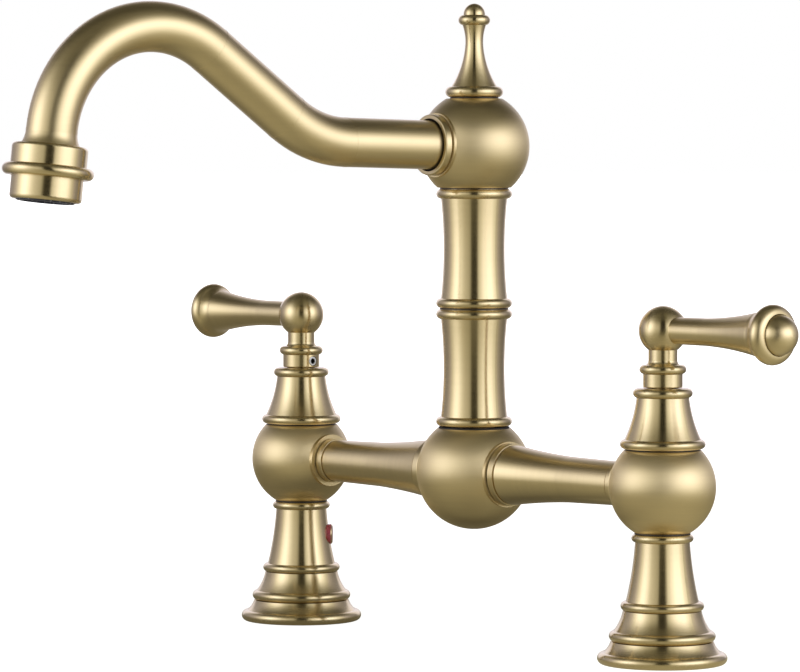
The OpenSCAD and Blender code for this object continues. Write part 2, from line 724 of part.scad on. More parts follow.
// Ball in the middle of the bridge: a tube from each side and the column's swivel on top
module centre_ball() {
    floor_z = bridge_z - bridge_bore_r - wall;
    color(brass) difference() {
        union() {
            cut_ball(centre_ball_d, bridge_z, bridge_z - centre_ball_d, centre_ball_top_z);
            for (side = [0, 180]) translate([0, 0, bridge_z]) rotate([0, 0, side]) along_x()
                cylinder(d = centre_boss_d, h = centre_face);
        }
        translate([0, 0, floor_z]) cylinder(r = swivel_r + running_gap, h = deep);
        for (side = [0, 180]) translate([0, 0, bridge_z]) rotate([0, 0, side]) along_x() {
            face_cut(centre_face, centre_boss_d);
            cylinder(d = bridge_bore_d, h = deep);
            translate([0, 0, centre_face - spigot_l - seal_t])
                cylinder(r = wide_spigot_r + thread_gap, h = deep);
        }
        swivel_screw_place() cylinder(d = grub_d + 2 * thread_gap, h = deep);
    }
}

// Where the swivel's screw sits: in the back of the centre ball, its tip in the shank's groove
module swivel_screw_place() {
    translate([0, 0, swivel_screw_z]) rotate([0, 0, 90]) along_x()
        translate([0, 0, swivel_groove_r + moving_gap]) children();
}

module swivel_screw() {
    swivel_screw_place() grub_screw(5.6);
}

// Slip ring between the centre ball and the column
module slip_ring() {
    color([0.16, 0.15, 0.14])
        washer(centre_ball_top_z, slip_ring_t, column_ring_d - 2 * column_seat_in - 1,
            swivel_d + 4 * running_gap);
}

// Shank that turns in the centre ball and screws into the column
module swivel_shank() {
    groove_low = swivel_screw_z - grub_d / 2 - moving_gap;
    groove_high = swivel_screw_z + grub_d / 2 + moving_gap;
    seal_z = swivel_low_z + 0.6;
    color(raw_brass) rotate_extrude() difference() {
        union() {
            stretch_2d(swivel_r, swivel_low_z, column_z);
            stretch_2d(swivel_r - 0.4, column_z, column_z + swivel_thread_l);
        }
        stretch_2d(swivel_bore_r, 0, deep);
        translate([swivel_groove_r, groove_low])
            square([swivel_r, groove_high - groove_low]);
        translate([swivel_seal_r - seal_wire / 2 - running_gap, seal_z])
            square([swivel_r, seal_wire + 2 * running_gap]);
    }
}

swivel_bore_r = swivel_r - 3.6;
swivel_seal_r = swivel_r - seal_wire / 2;

// Sealing ring round the shank
module swivel_seal() {
    color(rubber) translate([0, 0, swivel_low_z + 0.6 + seal_wire / 2 + running_gap])
        wire_ring(swivel_seal_r, seal_wire);
}

// Lower half of the column, drawn in slightly between its two rings
module column_lower() {
    color(brass) rotate_extrude() difference() {
        union() {
            rim_2d(column_ring_d / 2, column_z, column_ring_t);
            flare_2d(column_z + column_ring_t, column_d / 2,
                column_split_z - column_ring_t, column_d / 2, column_waist);
            rim_2d(column_ring_d / 2, column_split_z - column_ring_t, column_ring_t);
            stretch_2d(column_ring_d / 2 - column_groove_in, column_split_z - column_ring_t,
                column_upper_z);
        }
        stretch_2d(column_bore_d / 2, 0, deep);
        stretch_2d(swivel_r - 0.4 + thread_gap, 0, column_z + swivel_thread_l + moving_gap);
        stretch_2d(joiner_r + thread_gap, column_upper_z - joiner_l, deep);
    }
}

// Threaded nipple that joins the two halves of the column
module column_joiner() {
    color(raw_brass) washer(column_upper_z - joiner_l, 2 * joiner_l,
        2 * joiner_r, 2 * joiner_bore_r);
}

// Upper half of the column
module column_upper() {
    color(brass) rotate_extrude() difference() {
        union() {
            rim_2d(column_ring_d / 2, column_upper_z, column_ring_t);
            flare_2d(column_upper_z + column_ring_t, column_d / 2,
                column_top_z - column_ring_t, column_d / 2, column_waist);
            rim_2d(column_ring_d / 2, column_top_z - column_ring_t, column_ring_t);
            stretch_2d(column_ring_d / 2 - column_groove_in, column_top_z - column_ring_t,
                top_ball_low_z);
        }
        stretch_2d(column_bore_d / 2, 0, deep);
        stretch_2d(joiner_r + thread_gap, 0, column_upper_z + joiner_l);
        stretch_2d(joiner_r + thread_gap, top_ball_low_z - joiner_l, deep);
    }
}

// Threaded nipple that joins the column to the top ball
module top_nipple() {
    color(raw_brass) washer(top_ball_low_z - joiner_l, joiner_l + nipple_up,
        2 * joiner_r, 2 * joiner_bore_r);
}

nipple_up = spout_z - top_ball_low_z - spout_r - thread_gap - 1.5;

// Ball that the spout leaves from, flat below for the column and above for the finial
module top_ball() {
    color(brass) difference() {
        union() {
            cut_ball(top_ball_d, spout_z, top_ball_low_z, top_ball_high_z);
            along_spout() along_x() cylinder(d = spout_boss_d, h = spout_face);
        }
        translate([0, 0, top_ball_low_z - past])
            cylinder(r = joiner_r + thread_gap, h = nipple_up + past);
        translate([0, 0, top_ball_low_z]) cylinder(r = joiner_bore_r, h = spout_z - top_ball_low_z);
        translate([0, 0, finial_stud_z - moving_gap])
            cylinder(r = finial_stud_r + thread_gap, h = deep);
        along_spout() along_x() {
            face_cut(spout_face, spout_boss_d);
            translate([0, 0, -spout_bore_r]) cylinder(r = spout_bore_r, h = deep);
            translate([0, 0, spout_end - spout_seal_t]) cylinder(r = spout_r + thread_gap, h = deep);
        }
    }
}

finial_stud_r = 3.5;
finial_stud_z = spout_z + spout_r + wall;

// Sealing ring behind the spout's end
module spout_seal() {
    color(rubber) along_spout() along_x()
        washer(spout_end - spout_seal_t, spout_seal_t, spout_d, 2 * spout_bore_r);
}

// Collar on the tube, against the top ball's boss, with a deep gap round the tube
module spout_collar() {
    start = spout_face + groove;
    color(brass) along_spout() along_x() rotate_extrude() difference() {
        union() {
            stretch_2d(spout_collar_d / 2 - 0.8, spout_face + seat_gap, start);
            soft_2d(spout_collar_d / 2, start, spout_face + spout_collar_t, 0.3, 0.6);
        }
        stretch_2d(spout_r + thread_gap, 0, deep);
        stretch_2d(spout_r + collar_gap, start + 0.4, deep);
    }
}

// Outline of a straight stretch of the spout, with the weld beads that lap over the bends
module run_2d(r, l, beads) {
    stretch_2d(r, 0, l);
    for (weld = beads) stretch_2d(r + weld_bead, weld - weld_lap, weld + weld_lap);
}

// The spout's course for a round bar of radius r: straight, bend, rise and crook
module spout_course(r, start) {
    rise_l = spout_rise_l - rise_from;
    translate([start, 0, 0]) along_x() rotate_extrude()
        run_2d(r, bend_start - start, [bend_start - start]);
    translate([bend_start, 0, spout_bend_r]) rotate([90, 0, 0]) rotate([0, 0, -90])
        rotate_extrude(angle = spout_climb) translate([spout_bend_r, 0]) circle(r = r);
    translate(rise_start) rotate([0, 90 - spout_climb, 0]) rotate_extrude()
        run_2d(r, rise_l, [0, rise_l]);
    translate(crook_centre) rotate([90, 0, 0]) rotate([0, 0, nozzle_lean])
        rotate_extrude(angle = crook_turn) translate([crook_r, 0]) circle(r = r);
}

// Bent tube of the spout, opened out at its mouth, with a spigot into the nozzle
module spout_tube() {
    color(brass) difference() {
        union() {
            along_spout() spout_course(spout_r, spout_end);
            on_nozzle() rotate_extrude() {
                stretch_2d(mouth_spigot_r, 0, tube_mouth_l + mouth_spigot_l);
                stretch_2d(spout_r + weld_bead, -weld_lap, weld_lap);
                flare_2d(0, spout_r, tube_mouth_l, tube_mouth_d / 2, mouth_sag);
            }
        }
        along_spout() spout_course(spout_bore_r, spout_end - past);
        on_nozzle() rotate_extrude() run_2d(spout_bore_r, deep, [0]);
    }
}

mouth_spigot_r = spout_bore_r + 1.2;

// Nozzle: a short cylinder, a big half-round ring and the tip that holds the aerator
module nozzle() {
    color(brass) on_nozzle() rotate_extrude() difference() {
        union() {
            soft_2d(nozzle_d / 2, tube_mouth_l, nozzle_ring_s + past, 1.4, 0);
            rim_2d(nozzle_ring_d / 2, nozzle_ring_s, nozzle_ring_t);
            soft_2d(nozzle_tip_d / 2, nozzle_tip_s - past, nozzle_end_s, 0, 1.4);
        }
        stretch_2d(mouth_spigot_r + thread_gap, 0, tube_mouth_l + mouth_spigot_l + thread_gap);
        stretch_2d(spout_bore_r, 0, deep);
        stretch_2d(aerator_d / 2 + thread_gap, aerator_s - aerator_seal_t, deep);
    }
}

// Flat seal above the aerator
module aerator_seal() {
    color(rubber) on_nozzle()
        washer(aerator_s - aerator_seal_t, aerator_seal_t, aerator_d, 2 * spout_bore_r);
}

// Dark plastic housing of the aerator, standing a little out of the nozzle
module aerator_housing() {
    color(dark_plastic) on_nozzle() rotate_extrude() difference() {
        union() {
            stretch_2d(aerator_d / 2, aerator_s, nozzle_end_s - 0.6);
            soft_2d(aerator_d / 2 - 0.4, nozzle_end_s - 1, nozzle_end_s + aerator_out, 0, 0.6);
        }
        stretch_2d(aerator_d / 2 - 3.4, 0, deep);
        stretch_2d(screen_r + thread_gap, aerator_s + 2, deep);
    }
}

screen_r = aerator_d / 2 - 2.4;

// Perforated insert of the aerator
module aerator_screen() {
    hole_d = 1.5;
    color([0.42, 0.44, 0.52]) on_nozzle() translate([0, 0, aerator_s + 2]) difference() {
        cylinder(r = screen_r, h = aerator_l + aerator_out - 2.8);
        for (ring = [1, 2, 3], turn = [0 : 60 / ring : 359])
            rotate([0, 0, turn]) translate([ring * screen_r / 4, 0, -past])
                cylinder(d = hole_d, h = aerator_l + past + aerator_out);
        translate([0, 0, -past]) cylinder(d = hole_d, h = aerator_l + past + aerator_out);
    }
}

// Finial turned in one piece, with a stud that screws into the top ball
module finial() {
    ring_z = top_ball_high_z + groove;
    tip_r = finial_tip_d / 2;
    color(brass) rotate_extrude() {
        stretch_2d(finial_stud_r, finial_stud_z, top_ball_high_z);
        stretch_2d(finial_ring_d / 2 - finial_seat_in - 1.4, top_ball_high_z, ring_z);
        rim_2d(finial_ring_d / 2, ring_z, finial_ring_t);
        flare_2d(finial_foot_z, finial_foot_d / 2, finial_waist_z, finial_waist_d / 2, 0.9);
        flare_2d(finial_waist_z, finial_waist_d / 2, finial_neck_z, finial_neck_d / 2, 0.5);
        rim_2d(finial_top_ring_d / 2, finial_neck_z, finial_top_ring_t);
        intersection() {
            translate([0, finial_tip_z + 0.2]) circle(r = tip_r);
            stretch_2d(tip_r, finial_tip_z - 1, finial_tip_z + 2 * tip_r);
        }
    }
}

// What clamps the tap to the worktop, from the foot down to the nut
washer_bore_d = shank_d + 4 * thread_gap;
rubber_washer_t = 2.5;
steel_washer_t = 1.5;
nut_h = 8;

module foot_gaskets() {
    color(rubber) on_both_legs() washer(0, gasket_t, washer_d, washer_bore_d);
}

module rubber_washers() {
    color(rubber) on_both_legs()
        washer(-worktop_t - rubber_washer_t, rubber_washer_t, washer_d, washer_bore_d);
}

module steel_washers() {
    color(steel) on_both_legs()
        washer(-worktop_t - rubber_washer_t - steel_washer_t, steel_washer_t, washer_d,
            washer_bore_d);
}

module lock_nuts() {
    color(brass) on_both_legs()
        translate([0, 0, -worktop_t - rubber_washer_t - steel_washer_t - nut_h]) difference() {
            cylinder(d = nut_d, h = nut_h, $fn = 6);
            translate([0, 0, -past])
                cylinder(d = shank_d + 2 * thread_gap, h = nut_h + 2 * past);
        }
}

module cartridge_seals() {
    color(rubber) on_both_legs() washer(seat_z, seal_t, barrel_d, stem_d);
}

on_leg(-1) leg();  // left_leg
on_leg(1) leg();  // right_leg
on_leg(-1) shank();  // left_shank
on_leg(1) shank();  // right_shank
on_leg(-1) leg_ball();  // left_ball
on_leg(1) leg_ball();  // right_ball
on_leg(-1) bonnet();  // left_bonnet
on_leg(1) bonnet();  // right_bonnet
on_leg(-1) cartridge_body();  // left_cartridge_body
on_leg(1) cartridge_body();  // right_cartridge_body
on_leg(-1) ceramic_disc(disc_z, 0);  // left_fixed_disc
on_leg(1) ceramic_disc(disc_z, 0);  // right_fixed_disc
on_leg(-1) ceramic_disc(moving_disc_z, 90);  // left_moving_disc
on_leg(1) ceramic_disc(moving_disc_z, 90);  // right_moving_disc
on_leg(-1) stem();  // left_stem
on_leg(1) stem();  // right_stem
on_leg(-1) hub();  // left_hub
on_leg(1) hub();  // right_hub
on_leg(-1) lever();  // left_lever
on_leg(1) lever();  // right_lever
on_leg(-1) lever_knob();  // left_lever_knob
on_leg(1) lever_knob();  // right_lever_knob
on_leg(-1) handle_screw();  // left_handle_screw
on_leg(1) handle_screw();  // right_handle_screw
on_leg(-1) index_button([0.83, 0.33, 0.35]);  // hot_button
on_leg(1) index_button([0.25, 0.42, 0.75]);  // cold_button
foot_gaskets();
rubber_washers();
steel_washers();
lock_nuts();
cartridge_seals();
mirror([1, 0, 0]) bridge_tube();  // left_bridge_tube
bridge_tube();  // right_bridge_tube
bridge_seals();
centre_ball();
slip_ring();
swivel_screw();
swivel_shank();
swivel_seal();
column_lower();
column_joiner();
column_upper();
top_nipple();
top_ball();
spout_seal();
spout_collar();
spout_tube();
nozzle();
aerator_seal();
aerator_housing();
aerator_screen();
finial();
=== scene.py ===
import math

import bpy
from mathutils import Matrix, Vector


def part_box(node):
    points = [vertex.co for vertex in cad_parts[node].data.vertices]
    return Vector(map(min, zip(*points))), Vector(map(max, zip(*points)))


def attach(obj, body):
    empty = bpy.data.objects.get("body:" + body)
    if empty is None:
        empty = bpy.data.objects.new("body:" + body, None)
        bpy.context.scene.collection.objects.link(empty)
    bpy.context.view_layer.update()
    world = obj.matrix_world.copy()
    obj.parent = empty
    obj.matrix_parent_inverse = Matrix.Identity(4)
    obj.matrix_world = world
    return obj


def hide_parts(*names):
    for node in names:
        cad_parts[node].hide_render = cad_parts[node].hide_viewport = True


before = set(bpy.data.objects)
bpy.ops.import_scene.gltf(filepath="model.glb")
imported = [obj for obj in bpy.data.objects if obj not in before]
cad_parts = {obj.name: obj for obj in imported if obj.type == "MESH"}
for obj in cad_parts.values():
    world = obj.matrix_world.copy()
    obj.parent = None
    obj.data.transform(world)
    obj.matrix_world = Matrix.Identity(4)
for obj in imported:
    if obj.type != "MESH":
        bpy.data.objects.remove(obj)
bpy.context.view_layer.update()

# Camera. A long lens stands 1.7 m away, 48 degrees round to the cold side and
# level with the spout's collar, and looks slightly down at the tap.
camera_turn = math.radians(48.2)
camera_tilt = 2.468  # degrees down
camera_away, camera_aside, camera_height = 1.705, 0.0283, 0.1904
lens_length, photo_width = 4466, 800  # both in pixels of the photograph
camera_data = bpy.data.cameras.new("camera")
camera_data.sensor_width = 36
camera_data.lens = lens_length * camera_data.sensor_width / photo_width
camera_data.clip_end = 30
camera = bpy.data.objects.new("camera", camera_data)
bpy.context.collection.objects.link(camera)
camera.location = (
    camera_away * math.sin(camera_turn) - camera_aside * math.cos(camera_turn),
    -camera_away * math.cos(camera_turn) - camera_aside * math.sin(camera_turn),
    camera_height,
)
camera.rotation_euler = (math.radians(90 - camera_tilt), 0, camera_turn)
bpy.context.scene.camera = camera
bpy.context.scene.view_settings.view_transform = "Standard"

# Worktop and background. The tap stands on a plain white worktop that runs
# on behind it, before a white wall as bright as the photograph's paper.
worktop_radius = 26
sheet_step = 0.0001  # the studio's flat sheets lie this far apart, under the feet
worktop_glow = 0.94  # what lifts the worktop's paint to the paper's white
world = bpy.data.worlds.new("white_room")
bpy.context.scene.world = world
world.use_nodes = True
background = world.node_tree.nodes["Background"]
background.inputs["Color"].default_value = (1, 1, 1, 1)
background.inputs["Strength"].default_value = 1


def deselect_all():
    for thing in bpy.context.selected_objects:
        thing.select_set(False)


def reckon(tree, operation, *terms):
    """A Math node on numbers and on other nodes' values."""
    node = tree.nodes.new("ShaderNodeMath")
    node.operation = operation
    for socket, term in zip(node.inputs, terms):
        if isinstance(term, (int, float)):
            socket.default_value = term
        else:
            tree.links.new(term, socket)
    return node.outputs[0]


def flat_sheet(name, radius, height):
    """A round sheet that belongs to the studio."""
    deselect_all()
    bpy.ops.mesh.primitive_circle_add(
        vertices=128, radius=radius, fill_type="NGON", location=(0, 0, height)
    )
    sheet = bpy.context.object
    sheet.name = name
    bpy.ops.object.transform_apply(location=True, rotation=False, scale=False)
    return sheet


worktop = flat_sheet("worktop", worktop_radius, -2 * sheet_step)
laminate = bpy.data.materials.new("white_laminate")
laminate.use_nodes = True
tree = laminate.node_tree
tree.nodes.clear()
paint = tree.nodes.new("ShaderNodeBsdfDiffuse")
paint.inputs["Color"].default_value = (0.85, 0.85, 0.85, 1)
lift = tree.nodes.new("ShaderNodeEmission")
rays = tree.nodes.new("ShaderNodeLightPath")
seen = reckon(tree, "MAXIMUM", rays.outputs["Is Camera Ray"], rays.outputs["Is Glossy Ray"])
seen = reckon(tree, "MAXIMUM", seen, rays.outputs["Is Transmission Ray"])
tree.links.new(reckon(tree, "MULTIPLY", seen, worktop_glow), lift.inputs["Strength"])
both = tree.nodes.new("ShaderNodeAddShader")
out = tree.nodes.new("ShaderNodeOutputMaterial")
tree.links.new(paint.outputs[0], both.inputs[0])
tree.links.new(lift.outputs[0], both.inputs[1])
tree.links.new(both.outputs[0], out.inputs["Surface"])
# its glow is only seen, so no light is sought from it
laminate.cycles.emission_sampling = "NONE"
worktop.data.materials.append(laminate)

# Light tent. A round white cloth wall stands about the tap, with a dark slit
# for the lens: turned metal shows it as broad bands and one dark stripe. Its
# brightness goes by direction, as the lamps behind the cloth leave it.
tent_radius = 1.55
tent_height = 2.2
tent_middle = 0.13  # the height that directions up and down are told from
tent_level = 2.8
ramp_top = 0.8  # keeps the tinted colours of the ramps below 1
last_lamp = 88  # degrees from the lens, past which no lamp lights the cloth
# Each list holds (degrees, brightness). The round ones go round the tap from the lens, the
# others up or down from level. The lamps' light is tent_round times tent_rise, and the dim
# light off the floor and the roof, base_round times tent_base, is added to it.
tent_round = [
    (-180, .5), (-150, .5), (-144, .17), (-116, .22), (-100, .36), (-88, .6), (-76, .9),
    (-65, .98), (-55, .81), (-45, .56), (-36, .42), (-27, .35), (-18, .29), (-12.5, .15),
    (-10.5, .01), (0, .003), (10.5, .01), (12.5, .25), (14.5, .42), (18, .5), (27, .7),
    (36, .88), (45, 1), (65, 1), (76, .76), (88, .46), (100, .3), (116, .18),
    (134, .14), (144, .17), (150, .5), (180, .5),
]
tent_rise = [
    (-30, .04), (-20, .14), (-12, .38), (-5, .66), (0, .78), (6, .94), (12, 1), (20, 1),
    (26, .86), (32, .6), (38, .3), (46, .1), (60, .03),
]
tent_base = [
    (-90, .05), (-60, .12), (-40, .165), (-25, .15), (-14, .07), (-5, .004), (40, .002),
    (55, .05), (90, .04),
]
base_round = [(-180, .4), (-110, .5), (-50, 1), (50, 1), (110, .5), (180, .4)]


def lamp_tint(level):
    """The lamps' light is cool where it is full, and warmer where it is dim."""
    share = level ** 0.55
    return (1, 0.94 + 0.085 * share, 0.6 + 0.6 * share)


def round_tint(angle, level):
    return (0.95, 0.92, 1.1) if abs(angle) > last_lamp else lamp_tint(level)


def rise_tint(angle, level):
    return tuple(part / full for part, full in zip(lamp_tint(level), lamp_tint(1)))


def base_tint(angle, level):
    return (1, 0.93, 0.68)


def plain(angle, level):
    return (1, 1, 1)


def fill_ramp(ramp, stops, top, tint):
    """Spreads the stops over the whole ramp, each with its brightness and tint."""
    low, high = stops[0][0], stops[-1][0]
    ramp.color_ramp.interpolation = "LINEAR"
    elements = ramp.color_ramp.elements
    while len(elements) > 1:
        elements.remove(elements[-1])
    for angle, level in stops:
        at = (angle - low) / (high - low)
        element = elements[0] if angle == low else elements.new(at)
        element.position = at
        element.color = (*(level * top * part for part in tint(angle, level)), 1)


cloth = bpy.data.materials.new("tent_cloth")
cloth.use_nodes = True
tree = cloth.node_tree
tree.nodes.clear()
place = tree.nodes.new("ShaderNodeTexCoord")
turned = tree.nodes.new("ShaderNodeMapping")
# the lens stands at the middle of the ramp
turned.inputs["Rotation"].default_value = (0, 0, math.radians(90) - camera_turn)
round_way = tree.nodes.new("ShaderNodeTexGradient")
round_way.gradient_type = "RADIAL"
tree.links.new(place.outputs["Object"], turned.inputs["Vector"])
tree.links.new(turned.outputs["Vector"], round_way.inputs["Vector"])


def round_colour(stops, top, tint):
    ramp = tree.nodes.new("ShaderNodeValToRGB")
    tree.links.new(round_way.outputs["Fac"], ramp.inputs["Fac"])
    fill_ramp(ramp, stops, top, tint)
    return ramp.outputs["Color"]


def from_axis(tree, position):
    """How far a position is from its Z axis."""
    parts = tree.nodes.new("ShaderNodeSeparateXYZ")
    tree.links.new(position, parts.inputs[0])
    level = tree.nodes.new("ShaderNodeCombineXYZ")
    tree.links.new(parts.outputs["X"], level.inputs["X"])
    tree.links.new(parts.outputs["Y"], level.inputs["Y"])
    away = tree.nodes.new("ShaderNodeVectorMath")
    away.operation = "LENGTH"
    tree.links.new(level.outputs[0], away.inputs[0])
    return away.outputs["Value"]


parts = tree.nodes.new("ShaderNodeSeparateXYZ")
tree.links.new(place.outputs["Object"], parts.inputs[0])
rise = reckon(tree, "SUBTRACT", parts.outputs["Z"], tent_middle)
rise = reckon(tree, "ARCTAN2", rise, from_axis(tree, place.outputs["Object"]))


def rise_colour(stops, top, tint):
    share = tree.nodes.new("ShaderNodeMapRange")
    share.inputs["From Min"].default_value = math.radians(stops[0][0])
    share.inputs["From Max"].default_value = math.radians(stops[-1][0])
    tree.links.new(rise, share.inputs["Value"])
    ramp = tree.nodes.new("ShaderNodeValToRGB")
    tree.links.new(share.outputs[0], ramp.inputs["Fac"])
    fill_ramp(ramp, stops, top, tint)
    return ramp.outputs["Color"]


def blend_colours(tree, kind, first, second, factor=1.0):
    """A Mix node for colours; first, second and factor are values or other nodes' outputs."""
    node = tree.nodes.new("ShaderNodeMix")
    node.data_type = "RGBA"
    node.blend_type = kind
    named = {socket.identifier: socket for socket in node.inputs}
    for key, term in (("Factor_Float", factor), ("A_Color", first), ("B_Color", second)):
        if isinstance(term, (int, float, tuple)):
            named[key].default_value = term
        else:
            tree.links.new(term, named[key])
    return next(socket for socket in node.outputs if socket.identifier == "Result_Color")


lit = blend_colours(tree, "MULTIPLY", round_colour(tent_round, ramp_top, round_tint),
                    rise_colour(tent_rise, 1, rise_tint))
base = blend_colours(tree, "MULTIPLY", round_colour(base_round, 1, plain),
                     rise_colour(tent_base, ramp_top, base_tint))
lit = blend_colours(tree, "ADD", lit, base)
glow = tree.nodes.new("ShaderNodeEmission")
glow.inputs["Strength"].default_value = tent_level
out = tree.nodes.new("ShaderNodeOutputMaterial")
tree.links.new(lit, glow.inputs["Color"])
tree.links.new(glow.outputs[0], out.inputs["Surface"])

# the wall and roof in one: a round sheet drawn up from the worktop
tent = flat_sheet("light_tent", tent_radius, 0)
bpy.ops.object.mode_set(mode="EDIT")
bpy.ops.mesh.select_all(action="SELECT")
bpy.ops.mesh.extrude_region_move(TRANSFORM_OT_translate={"value": (0, 0, tent_height)})
bpy.ops.object.mode_set(mode="OBJECT")
# the cloth that lies on the worktop, which only the metal sees
tent_floor = flat_sheet("tent_floor", tent_radius, -sheet_step)
tent_floor.visible_diffuse = False
tent_floor.visible_transmission = False
for sheet in (tent, tent_floor):
    sheet.visible_camera = False
    sheet.visible_shadow = False
    sheet.data.materials.append(cloth)

# Legs. Two hollow pedestals turned from solid brass bar, brushed in the lathe
# and lacquered. Each stands on its foot and carries a valve ball; where they
# meet, a thin dark line is painted, partly polish left in the joint and partly painted shade.


def middle(name, way):
    """Where a piece's middle lies along X, Y or Z, told as 0, 1 or 2."""
    low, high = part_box(name)
    return (low[way] + high[way]) / 2


leg_axis = middle("right_leg", 0)
sides = (("left", -leg_axis), ("right", leg_axis))
leg_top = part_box("right_leg")[1][2]
joint_groove = 0.000502  # a dark line starts this far before a joint's face, a hair over the groove
joint_reach = 0.001  # and ends this far past the face
satin_brass = (0.715, 0.585, 0.33, 1)
# the colour of the joints' dark lines and of deep insides: painted shade, with polish residue in the
# joints
joint_dirt_and_shade = (0.042, 0.028, 0.014, 1)
turned_rough, turned_blur = 0.25, 0.85  # the blur is how far a highlight is drawn out


def new_group(name, takes, gives):
    """An empty node group; returns it with its input and output nodes."""
    group = bpy.data.node_groups.new(name, "ShaderNodeTree")
    for title, kind in takes:
        group.interface.new_socket(title, in_out="INPUT", socket_type=kind)
    for title, kind in gives:
        group.interface.new_socket(title, in_out="OUTPUT", socket_type=kind)
    return group, group.nodes.new("NodeGroupInput"), group.nodes.new("NodeGroupOutput")


def add_noise(tree, where, stretch, detail):
    """Noise read at a position that is stretched first."""
    wide = tree.nodes.new("ShaderNodeMapping")
    wide.inputs["Scale"].default_value = stretch
    tree.links.new(where, wide.inputs["Vector"])
    noise = tree.nodes.new("ShaderNodeTexNoise")
    noise.inputs["Scale"].default_value = 1
    noise.inputs["Detail"].default_value = detail
    tree.links.new(wide.outputs["Vector"], noise.inputs["Vector"])
    return noise.outputs["Fac"]


def lean(tree, value, centre, reach):
    """Turns 0..1 about a half into centre - reach .. centre + reach."""
    shift = reckon(tree, "MULTIPLY", reckon(tree, "SUBTRACT", value, 0.5), 2 * reach)
    return reckon(tree, "ADD", shift, centre)


# fine rings left by brushing the piece in the lathe, along the position's Z
lathe, taken, given = new_group(
    "lathe_brushing",
    [("Position", "NodeSocketVector")],
    [("Height", "NodeSocketFloat"), ("Rough Shift", "NodeSocketFloat"), ("Tone", "NodeSocketFloat")],
)
fine = add_noise(lathe, taken.outputs["Position"], (120, 120, 6500), 2)
broad = add_noise(lathe, taken.outputs["Position"], (45, 45, 900), 2)
patch = add_noise(lathe, taken.outputs["Position"], (70, 70, 70), 3)
lathe.links.new(fine, given.inputs["Height"])
lathe.links.new(lean(lathe, broad, 0, 0.02), given.inputs["Rough Shift"])
streak = reckon(lathe, "ADD", lean(lathe, broad, 0.5, 0.035), lean(lathe, patch, 0.5, 0.05))
streak = reckon(lathe, "ADD", streak, lean(lathe, fine, 0, 0.03))
lathe.links.new(streak, given.inputs["Tone"])

# the dark line of a joint, between two places along a piece
joint_line, taken, given = new_group(
    "joint_line",
    [("Along", "NodeSocketFloat"), ("Low", "NodeSocketFloat"), ("High", "NodeSocketFloat")],
    [("Mask", "NodeSocketFloat")],
)
above = reckon(joint_line, "GREATER_THAN", taken.outputs["Along"], taken.outputs["Low"])
below = reckon(joint_line, "LESS_THAN", taken.outputs["Along"], taken.outputs["High"])
joint_line.links.new(reckon(joint_line, "MULTIPLY", above, below), given.inputs["Mask"])


def own_position(tree, centre, turn=(0, 0, 0)):
    """Object coordinates from the piece's own centre, with its axis along Z."""
    place = tree.nodes.new("ShaderNodeTexCoord")
    own = tree.nodes.new("ShaderNodeMapping")
    own.vector_type = "TEXTURE"
    own.inputs["Location"].default_value = centre
    own.inputs["Rotation"].default_value = turn
    tree.links.new(place.outputs["Object"], own.inputs["Vector"])
    return own.outputs["Vector"]


def new_finish(name):
    """A material; returns it with its node tree and its Principled shader."""
    made = bpy.data.materials.new(name)
    made.use_nodes = True
    return made, made.node_tree, made.node_tree.nodes["Principled BSDF"]


def lathe_marks(tree, own):
    """The outputs of the brushing, laid along Z of the piece's own position."""
    marks = tree.nodes.new("ShaderNodeGroup")
    marks.node_tree = lathe
    tree.links.new(own, marks.inputs["Position"])
    return marks.outputs


def line_mask(tree, along, low, high):
    """1 where the value that runs along a piece is between low and high."""
    line = tree.nodes.new("ShaderNodeGroup")
    line.node_tree = joint_line
    tree.links.new(along, line.inputs["Along"])
    line.inputs["Low"].default_value = low
    line.inputs["High"].default_value = high
    return line.outputs["Mask"]


def emboss(tree, height, strength, depth):
    """Raises the surface by a height of 0 to 1, at most by the depth."""
    bump = tree.nodes.new("ShaderNodeBump")
    bump.inputs["Strength"].default_value = strength
    bump.inputs["Distance"].default_value = depth
    tree.links.new(height, bump.inputs["Height"])
    tree.links.new(bump.outputs["Normal"], tree.nodes["Principled BSDF"].inputs["Normal"])


